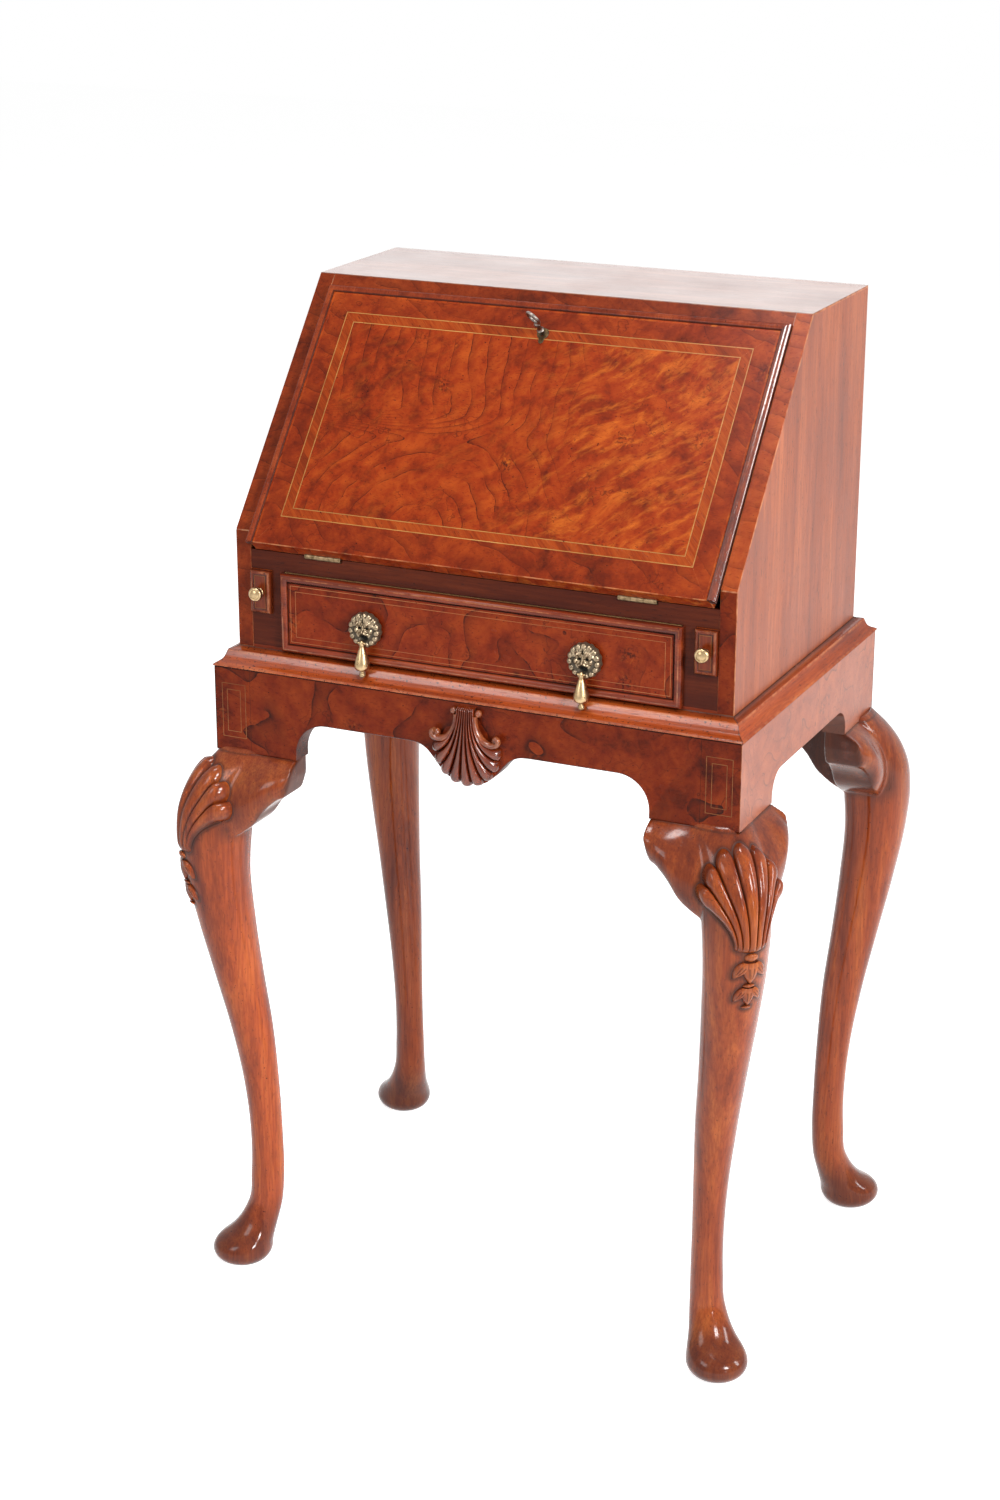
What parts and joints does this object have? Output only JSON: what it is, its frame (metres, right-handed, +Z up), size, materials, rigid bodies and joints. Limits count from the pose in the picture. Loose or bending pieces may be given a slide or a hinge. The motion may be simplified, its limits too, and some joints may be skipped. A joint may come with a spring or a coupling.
{
  "type": "fall-front writing bureau on stand",
  "caption": "Walnut bureau on a cabriole-legged stand, with a sloping fall that opens onto pull-out supports, a long drawer and a pigeonhole interior.",
  "frame": {"origin": "on the floor under the middle of the stand", "axes": "+X right as seen from the front, +Y to the back, +Z up"},
  "size_m": [0.624, 0.4578, 1],
  "materials": {
    "walnut_solid": "polished solid walnut",
    "walnut_veneer": "polished walnut veneer",
    "walnut_burr": "polished burr walnut",
    "pale_wood": "waxed pale wood and boxwood",
    "brass": "polished brass",
    "aged_brass": "aged cast brass",
    "steel": "worn steel"
  },
  "bodies": {
    "frame": {"leg_front_left": "walnut_solid", "leg_front_right": "walnut_solid", "leg_back_left": "walnut_solid", "leg_back_right": "walnut_solid", "knee_brackets_front": "walnut_solid", "knee_brackets_back": "walnut_solid", "apron_shell": "walnut_solid", "moulding_front": "walnut_solid", "moulding_back": "walnut_solid", "moulding_left": "walnut_solid", "moulding_right": "walnut_solid", "front_apron": "walnut_veneer", "left_apron": "walnut_veneer", "right_apron": "walnut_veneer", "case_side_left": "walnut_veneer", "case_side_right": "walnut_veneer", "case_top": "walnut_veneer", "front_rail": "walnut_veneer", "loper_bearer_left": "walnut_veneer", "loper_bearer_right": "walnut_veneer", "writing_bed": "walnut_veneer", "back_apron": "pale_wood", "case_bottom": "pale_wood", "case_back": "pale_wood", "partition_left": "pale_wood", "partition_right": "pale_wood", "gallery_shelves": "pale_wood", "gallery_dividers": "pale_wood", "hinge_rail_leaves": "brass", "hinge_pins": "steel", "hinge_rail_screws": "steel"},
    "fall": {"fall_panel": "walnut_burr", "fall_beads": "walnut_solid", "hinge_fall_leaves": "brass", "hinge_fall_screws": "steel", "lock_case": "steel", "escutcheon": "brass"},
    "lock_bolt": {"lock_bolt": "steel"},
    "key": {"key": "steel"},
    "drawer": {"drawer_front": "walnut_burr", "drawer_inner_front": "pale_wood", "drawer_side_left": "pale_wood", "drawer_side_right": "pale_wood", "drawer_back": "pale_wood", "drawer_bottom": "pale_wood", "mask_left": "aged_brass", "mask_right": "aged_brass", "mask_bolts": "brass"},
    "drop_left": {"drop_left": "brass"},
    "drop_right": {"drop_right": "brass"},
    "loper_left": {"loper_left": "walnut_solid", "loper_face_left": "walnut_solid", "loper_knob_left": "brass"},
    "loper_right": {"loper_right": "walnut_solid", "loper_face_right": "walnut_solid", "loper_knob_right": "brass"},
    "small_drawer_left": {"small_drawer_left": "pale_wood", "small_knob_left": "brass"},
    "small_drawer_right": {"small_drawer_right": "pale_wood", "small_knob_right": "brass"}
  },
  "joints": [
    {"name": "fall_hinge", "type": "hinge", "parent": "frame", "child": "fall", "pos_m": [0, -0.17125, 0.76449], "axis": [1, 0, 0], "range_deg": [0, 129.6]},
    {"name": "key_turn", "type": "hinge", "parent": "fall", "child": "key", "pos_m": [0, -0.02149, 0.96332], "axis": [0, -0.7705, 0.6374], "range_deg": [0, 90]},
    {"name": "bolt_slide", "type": "slide", "parent": "fall", "child": "lock_bolt", "axis": [0, 0.6374, 0.7705], "range_m": [0, 0.006]},
    {"name": "drawer_slide", "type": "slide", "parent": "frame", "child": "drawer", "axis": [0, -1, 0], "range_m": [0, 0.2]},
    {"name": "loper_left_slide", "type": "slide", "parent": "frame", "child": "loper_left", "axis": [0, -1, 0], "range_m": [0, 0.225]},
    {"name": "loper_right_slide", "type": "slide", "parent": "frame", "child": "loper_right", "axis": [0, -1, 0], "range_m": [0, 0.225]},
    {"name": "small_drawer_left_slide", "type": "slide", "parent": "frame", "child": "small_drawer_left", "axis": [0, -1, 0], "range_m": [0, 0.11]},
    {"name": "small_drawer_right_slide", "type": "slide", "parent": "frame", "child": "small_drawer_right", "axis": [0, -1, 0], "range_m": [0, 0.11]},
    {"name": "drop_left_swing", "type": "hinge", "parent": "drawer", "child": "drop_left", "pos_m": [-0.113, -0.1872, 0.691], "axis": [-1, 0, 0], "range_deg": [0, 75]},
    {"name": "drop_right_swing", "type": "hinge", "parent": "drawer", "child": "drop_right", "pos_m": [0.113, -0.1872, 0.691], "axis": [-1, 0, 0], "range_deg": [0, 75]}
  ],
  "couplings": [
    {"joint": "key_turn", "follows": "bolt_slide", "rad_per_m": 261.8}
  ]
}
